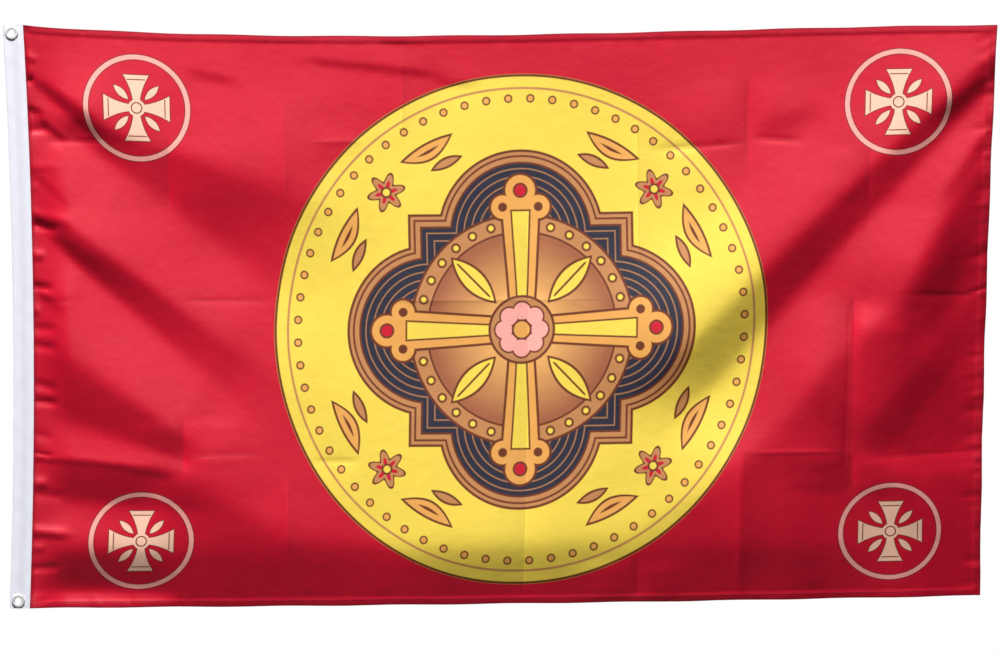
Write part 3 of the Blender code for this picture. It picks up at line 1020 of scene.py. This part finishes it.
class FLAG_OT_cloth(Operator):
    """Make the printed cloth with its folds, creases and hems"""
    bl_idname = "flag.cloth"
    bl_label = "Printed Cloth"

    def execute(self, context):
        cloth = settings().cloth
        hem = cloth.hem_width
        inside = [0.5 * MM, 1.3 * MM, hem - 1.2 * MM, hem]
        width, height = FLAT_WIDTH * MM, FLAT_HEIGHT * MM
        s = graded_shares(
            width, ((FINE_STRETCH, cloth.fine_step), (width, cloth.wide_step)),
            crease_lines("down"), [width - v for v in inside] + [4 * MM])
        t = graded_shares(
            height, ((height, cloth.level_step),), crease_lines("across"),
            inside + [height - v for v in inside])

        grid_s, grid_t = np.meshgrid(s, t, indexing="ij")
        points = shared_surface().points(grid_s.ravel(), grid_t.ravel())
        check_on_solid(points)
        points = points.reshape(len(s), len(t), 3)
        across = evened(flat_shares(points, 0), 1, EVEN_ROWS)
        down = evened(flat_shares(points, 1), 0, EVEN_COLUMNS)

        bm = bmesh.new()
        bmesh.ops.create_grid(bm, x_segments=len(s), y_segments=len(t) - 1, size=0.5)
        weights = bm.verts.layers.deform.verify()
        single = cloth.thickness / cloth.hem_thickness
        uv_of = np.zeros((len(bm.verts), 2))
        for vert in bm.verts:
            i = max(round((vert.co.x + 0.5) * len(s)) - 1, 0)
            j = round((0.5 - vert.co.y) * (len(t) - 1))
            tucked = vert.co.x < -0.5 + 0.5 / len(s)
            vert.co = points[i, j]
            if tucked:
                vert.co.x -= TUCK
            uv_of[vert.index] = across[i, j], 1 - down[i, j]
            edge = min((1 - s[i]) * width, t[j] * height, (1 - t[j]) * height)
            hemmed = edge < hem - 0.6 * MM and s[i] * width > 3 * MM
            vert[weights][0] = 1.0 if hemmed else single
        obj = finished_object("printed_cloth", bm, cloth_materials())
        layer = obj.data.uv_layers.new(name=UV_NAME)
        corners = np.zeros(len(obj.data.loops), int)
        obj.data.loops.foreach_get("vertex_index", corners)
        layer.data.foreach_set("uv", uv_of[corners].ravel())
        obj.vertex_groups.new(name="layers")

        solidify = obj.modifiers.new("cloth", "SOLIDIFY")
        solidify.thickness = cloth.hem_thickness
        solidify.offset = 0.0
        solidify.vertex_group = "layers"
        solidify.material_offset = 1
        solidify.material_offset_rim = 0
        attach(obj, "root")
        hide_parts("flag_cloth")
        return {"FINISHED"}


def cloth_materials():
    group = print_group()
    return [polyester("printed_face", group, 0.0), polyester("printed_reverse", group, 0.12)]


def heading_section():
    """The folded tape across its width: (X from the seam, forward), front first, then round."""
    outer = -HEADING_WIDTH + HEADING_HALF
    flats = np.linspace(0, outer, 15)
    front = [(a, HEADING_HALF) for a in flats]
    fold = []
    for angle in np.linspace(math.pi / 2, -math.pi / 2, 9)[1:-1]:
        fold.append((outer - HEADING_HALF * math.cos(angle), HEADING_HALF * math.sin(angle)))
    back = [(a, -HEADING_HALF) for a in flats[::-1]]
    lip = [(0.35 * MM, -mix(SLOT_HALF, HEADING_HALF, 0.5)), (0, -SLOT_HALF)]
    slot = [(-TUCK - 0.4 * MM, -SLOT_HALF), (-TUCK - 0.4 * MM, SLOT_HALF), (0, SLOT_HALF)]
    return front + fold + back + lip + slot + [(0.35 * MM, mix(SLOT_HALF, HEADING_HALF, 0.5))]


def quilted(across, forward, z):
    """How much the stitch rows draw the tape in, and its slight unevenness."""
    drawn = 0.0
    for row in SEAM_ROWS:
        drawn += 0.22 * MM * math.exp(-((across - row) / (1.1 * MM)) ** 2)
    swell = 0.14 * MM * math.sin(z / (7.3 * MM)) * math.sin(across / (6 * MM) + z / (31 * MM))
    return math.copysign(max(abs(forward) - drawn, 0) + swell, forward)


class FLAG_OT_heading(Operator):
    """Make the canvas heading, folded over the hoist edge"""
    bl_idname = "flag.heading"
    bl_label = "Canvas Heading"

    def execute(self, context):
        section = heading_section()
        stations = 190
        bm = bmesh.new()
        bmesh.ops.create_grid(bm, x_segments=len(section), y_segments=stations, size=0.5)
        for vert in bm.verts:
            i = round((vert.co.x + 0.5) * len(section)) % len(section)
            t = 0.5 - vert.co.y
            across, forward = section[i]
            outer = abs(forward) > SLOT_HALF * 1.1 and across < 0
            z = hoist_edge(t)[1]
            if outer:
                forward = quilted(across, forward, z)
            wander = 0.18 * MM * math.sin(z / (13 * MM)) * (1 if across < -20 * MM else 0)
            vert.co = heading_point(across + wander, forward, t)
        bmesh.ops.remove_doubles(bm, verts=bm.verts, dist=0.02 * MM)
        open_edges = [e for e in bm.edges if e.is_boundary]
        bmesh.ops.holes_fill(bm, edges=open_edges, sides=0)
        outward(bm)
        mat = canvas_material("canvas", settings().heading.canvas)
        obj = finished_object("heading_canvas", bm, [mat])
        cutters = [self.cut_hole(obj, end) for end in ("upper", "lower")]
        apply_modifiers(obj)
        for cutter in cutters:
            bpy.data.objects.remove(cutter)
        obj.data.shade_smooth()
        obj.data.set_sharp_from_angle(angle=math.radians(50))
        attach(obj, "root")
        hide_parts("heading_tape")
        return {"FINISHED"}

    def cut_hole(self, heading, end):
        bm = bmesh.new()
        turn = Matrix.Translation(grommet_centre(end)) @ Matrix.Rotation(math.pi / 2, 4, "X")
        radius = settings().grommet.hole_radius + 0.8 * MM
        bmesh.ops.create_cone(
            bm, cap_ends=True, segments=48, radius1=radius, radius2=radius,
            depth=8 * HEADING_HALF, matrix=turn)
        cutter = finished_object("cutter_" + end, bm, [])
        cut = heading.modifiers.new("hole_" + end, "BOOLEAN")
        cut.operation = "DIFFERENCE"
        cut.object = cutter
        return cutter


def add_stitch(bm, start, end, normal, radius):
    """One stitch as a small long bead that lies on the cloth."""
    middle = (start + end) / 2
    along = (end - start).normalized()
    side = normal.cross(along).normalized()
    up = along.cross(side)
    turn = Matrix((along, side, up)).transposed().to_4x4()
    size = Matrix.Diagonal(((end - start).length / 2, radius, radius, 1.0))
    bmesh.ops.create_icosphere(
        bm, subdivisions=1, radius=1.0, matrix=Matrix.Translation(middle) @ turn @ size)


def stitch_line(bm, points, normals, sewing, lift):
    """Stitches along a line of points that are one pitch apart."""
    share = sewing.length / sewing.pitch
    for here, after, normal in zip(points[:-1], points[1:], normals[:-1]):
        start, end = Vector(here), Vector(here).lerp(Vector(after), share)
        raised = Vector(normal).normalized() * lift
        add_stitch(bm, start + raised, end + raised, Vector(normal), sewing.radius)


def hem_lines():
    """Shares of the three sewn hem lines, from the hoist end of the top to that of the foot."""
    hem = settings().cloth.hem_width - 2.2 * MM
    pitch = settings().sewing.pitch
    width, height = FLAT_WIDTH * MM, FLAT_HEIGHT * MM
    along = np.arange(4 * MM, width - hem, pitch) / width
    down = np.arange(hem, height - hem, pitch) / height
    level = np.full_like(along, hem / height)
    upright = np.full_like(down, 1 - hem / width)
    return ((along, level), (upright, down), (along, 1 - level))


class FLAG_OT_sewing(Operator):
    """Sew the hems and the heading"""
    bl_idname = "flag.sewing"
    bl_label = "Sewing"

    def execute(self, context):
        self.sew_hems()
        self.sew_heading()
        return {"FINISHED"}

    def sew_hems(self):
        surface = shared_surface()
        sewing, cloth = settings().sewing, settings().cloth
        lift = cloth.hem_thickness / 2 + sewing.radius * 0.3
        bm = bmesh.new()
        small = 1e-3
        for s, t in hem_lines():
            points = surface.points(s, t)
            to_fly = surface.points(np.minimum(s + small, 1), t) - points
            to_foot = surface.points(s, np.minimum(t + small, 1)) - points
            normals = np.cross(to_foot, to_fly)
            normals *= -np.sign(normals[:, 1:2])
            stitch_line(bm, points, normals, sewing, lift)
            stitch_line(bm, points, -normals, sewing, lift)
        colour = tuple(c * 0.8 for c in settings().print.field)
        obj = finished_object("hem_stitches", bm, [thread_material("red_thread", colour)])
        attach(obj, "root")

    def sew_heading(self):
        sewing = settings().sewing
        length = HOIST_TOP[1] - HOIST_FOOT[1]
        t = np.arange(3 * MM, length - 3 * MM, sewing.pitch) / length
        bm = bmesh.new()
        for row in SEAM_ROWS:
            for side in (1, -1):
                points = []
                for share in t:
                    z = hoist_edge(share)[1]
                    points.append(heading_point(row, quilted(row, side * HEADING_HALF, z), share))
                normals = [(0, -side, 0)] * len(points)
                stitch_line(bm, points, normals, sewing, sewing.radius * 0.3)
        mat = thread_material("white_thread", settings().heading.thread)
        obj = finished_object("heading_stitches", bm, [mat])
        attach(obj, "root")


def arc(centre, radius, start, end, steps):
    """Points of an arc in the plane of radius and height, from one angle to another in degrees."""
    points = []
    for angle in np.linspace(math.radians(start), math.radians(end), steps):
        points.append((centre[0] + radius * math.cos(angle), centre[1] + radius * math.sin(angle)))
    return points


def turned_piece(name, profile, centre, mat):
    bm = bmesh.new()
    verts = [bm.verts.new(centre + Vector((r, -forward, 0))) for r, forward in profile]
    edges = [bm.edges.new((verts[i - 1], verts[i])) for i in range(len(verts))]
    bmesh.ops.spin(
        bm, geom=verts + edges, cent=centre, axis=(0, 1, 0), angle=math.tau,
        steps=settings().grommet.steps, use_merge=True)
    bmesh.ops.remove_doubles(bm, verts=bm.verts, dist=0.001 * MM)
    outward(bm)
    obj = finished_object(name, bm, [mat])
    obj.data.set_sharp_from_angle(angle=math.radians(45))
    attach(obj, "root")
    return obj


class FLAG_OT_grommets(Operator):
    """Set the two grommets: an eyelet from the front and a washer from the back"""
    bl_idname = "flag.grommets"
    bl_label = "Grommets"

    def execute(self, context):
        mat = plated_metal()
        for end in ("upper", "lower"):
            centre = grommet_centre(end)
            eyelet = turned_piece("grommet_eyelet_" + end, self.eyelet_profile(), centre, mat)
            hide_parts("eyelet_" + end)
            washer = turned_piece("grommet_washer_" + end, self.washer_profile(), centre, mat)
            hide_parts("washer_" + end)
        return {"FINISHED"}

    def eyelet_profile(self):
        """A flange that rolls down from the hole to its rim, a barrel, and a lip rolled outward."""
        hole, rim = settings().grommet.hole_radius, settings().grommet.flange_radius
        seat, wall = HEADING_HALF + 0.1 * MM, 0.6 * MM
        crown = 1.3 * MM
        lip_seat = -(seat + 0.9 * MM)
        lip = 0.55 * MM
        profile = arc((hole + crown, seat + 0.3 * MM), crown, 180, 90, 8)
        profile += arc((rim - 1.1 * MM, seat + 0.5 * MM), 1.1 * MM, 90, 0, 8)
        profile += [(rim, seat), (rim - 0.5 * MM, seat), (rim - 1.6 * MM, seat + 0.35 * MM)]
        profile += [(hole + wall, seat + 0.3 * MM), (hole + wall, lip_seat)]
        profile += arc((hole + 1.5 * MM, lip_seat - lip), lip, 90, -90, 9)
        profile += arc((hole + 1.0 * MM, lip_seat - lip), lip, 270, 180, 5)[1:]
        profile += [(hole, lip_seat)]
        return profile

    def washer_profile(self):
        """A thin ring, dished away from the tape at its rim, that the lip is rolled over."""
        bore = settings().grommet.hole_radius + 0.75 * MM
        rim = settings().grommet.flange_radius
        seat = -(HEADING_HALF + 0.1 * MM)
        thick = 0.5 * MM
        profile = [(bore, seat), (rim - 1.2 * MM, seat - 0.1 * MM), (rim, seat)]
        profile += arc((rim - 0.3 * MM, seat - thick + 0.1 * MM), 0.3 * MM, 0, -90, 4)
        profile += [(rim - 1.2 * MM, seat - thick - 0.3 * MM), (bore + 1.6 * MM, seat - thick)]
        return profile + [(bore, seat - thick)]


class FLAG_OT_stage(Operator):
    """Set the camera, the pale floor and the soft lights"""
    bl_idname = "flag.stage"
    bl_label = "Stage"

    def execute(self, context):
        stage = settings().stage
        self.add_camera(stage)
        self.add_floor(stage)
        middle = Vector((0, 0, stage.view_height))
        lights = (
            ("key", (-1.2, -4.9, 10.9), 2.4, stage.key_power),
            ("sheen", (0.3, -5.4, 2.6), 2.6, stage.sheen_power),
            ("back", (1.2, 2.4, 1.6), 2.0, stage.back_power),
        )
        for name, place, size, power in lights:
            light = self.add_light(name, middle + Vector(place), middle, size, power)
            light.visible_diffuse = name != "sheen"     # the sheen's light only glints
        self.add_world(stage.ambient)
        context.scene.view_settings.view_transform = "Standard"
        return {"FINISHED"}

    def add_camera(self, stage):
        data = bpy.data.cameras.new("camera")
        data.sensor_width = 36
        data.lens = data.sensor_width * stage.distance / stage.view_width
        data.clip_end = 100
        camera = bpy.data.objects.new("camera", data)
        camera.location = (0, -stage.distance, stage.view_height)
        camera.rotation_euler = (math.pi / 2, 0, 0)
        bpy.context.scene.collection.objects.link(camera)
        bpy.context.scene.camera = camera

    def add_floor(self, stage):
        bm = bmesh.new()
        place = Matrix.Translation((0, 0, stage.floor_height))
        bmesh.ops.create_grid(bm, x_segments=8, y_segments=8, size=1.2, matrix=place)
        mat, tree, shader = new_material("pale_floor")
        _, plane = object_plane(tree, 1.0)
        tinted(tree, shader, (0.82, 0.82, 0.82), noise_field(tree, plane, 2.0), 0.96)
        shader.inputs["Roughness"].default_value = 0.7
        finished_object("floor", bm, [mat])

    def add_light(self, name, place, target, size, power):
        data = bpy.data.lights.new(name, "AREA")
        data.shape = "SQUARE"
        data.size = size
        data.energy = power
        light = bpy.data.objects.new(name, data)
        light.location = place
        light.rotation_euler = (target - place).to_track_quat("-Z", "Y").to_euler()
        bpy.context.scene.collection.objects.link(light)
        return light

    def add_world(self, ambient):
        """White where the camera looks past the flag, and a soft even light elsewhere."""
        world = bpy.data.worlds.new("studio")
        world.use_nodes = True
        tree = world.node_tree
        background = tree.nodes["Background"]
        background.inputs["Color"].default_value = (1.0, 1.0, 1.0, 1.0)
        path = tree.nodes.new("ShaderNodeLightPath")
        seen = Field(tree, path.outputs["Is Camera Ray"])
        strength = seen * (1.0 - ambient) + ambient
        tree.links.new(strength.socket, background.inputs["Strength"])
        bpy.context.scene.world = world


class FlagSettings(PropertyGroup):
    """All the flag's settings."""
    cloth: PointerProperty(type=FlagClothSettings)
    print: PointerProperty(type=FlagPrintSettings)
    heading: PointerProperty(type=FlagHeadingSettings)
    sewing: PointerProperty(type=FlagSewingSettings)
    grommet: PointerProperty(type=FlagGrommetSettings)
    stage: PointerProperty(type=FlagStageSettings)


OPERATORS = (
    FLAG_OT_stage,
    FLAG_OT_heading,
    FLAG_OT_cloth,
    FLAG_OT_sewing,
    FLAG_OT_grommets,
)


class FLAG_PT_sidebar(Panel):
    """The flag's settings and steps"""
    bl_label = "Hanging Flag"
    bl_idname = "FLAG_PT_sidebar"
    bl_space_type = "VIEW_3D"
    bl_region_type = "UI"
    bl_category = "Flag"

    def draw(self, context):
        flag = context.scene.hanging_flag
        for group in (flag.cloth, flag.print, flag.heading, flag.sewing, flag.grommet, flag.stage):
            box = self.layout.box()
            for name in group.bl_rna.properties.keys():
                if name not in ("rna_type", "name"):
                    box.prop(group, name)
        for operator in OPERATORS:
            self.layout.operator(operator.bl_idname)


CLASSES = (
    FlagClothSettings,
    FlagPrintSettings,
    FlagHeadingSettings,
    FlagSewingSettings,
    FlagGrommetSettings,
    FlagStageSettings,
    FlagSettings,
    *OPERATORS,
    FLAG_PT_sidebar,
)


def register():
    for cls in CLASSES:
        bpy.utils.register_class(cls)
    bpy.types.Scene.hanging_flag = PointerProperty(type=FlagSettings)


def unregister():
    del bpy.types.Scene.hanging_flag
    for cls in reversed(CLASSES):
        bpy.utils.unregister_class(cls)


def main():
    register()
    bpy.ops.flag.stage()
    bpy.ops.flag.heading()
    bpy.ops.flag.cloth()
    bpy.ops.flag.sewing()
    bpy.ops.flag.grommets()


if __name__ == "__main__":
    main()
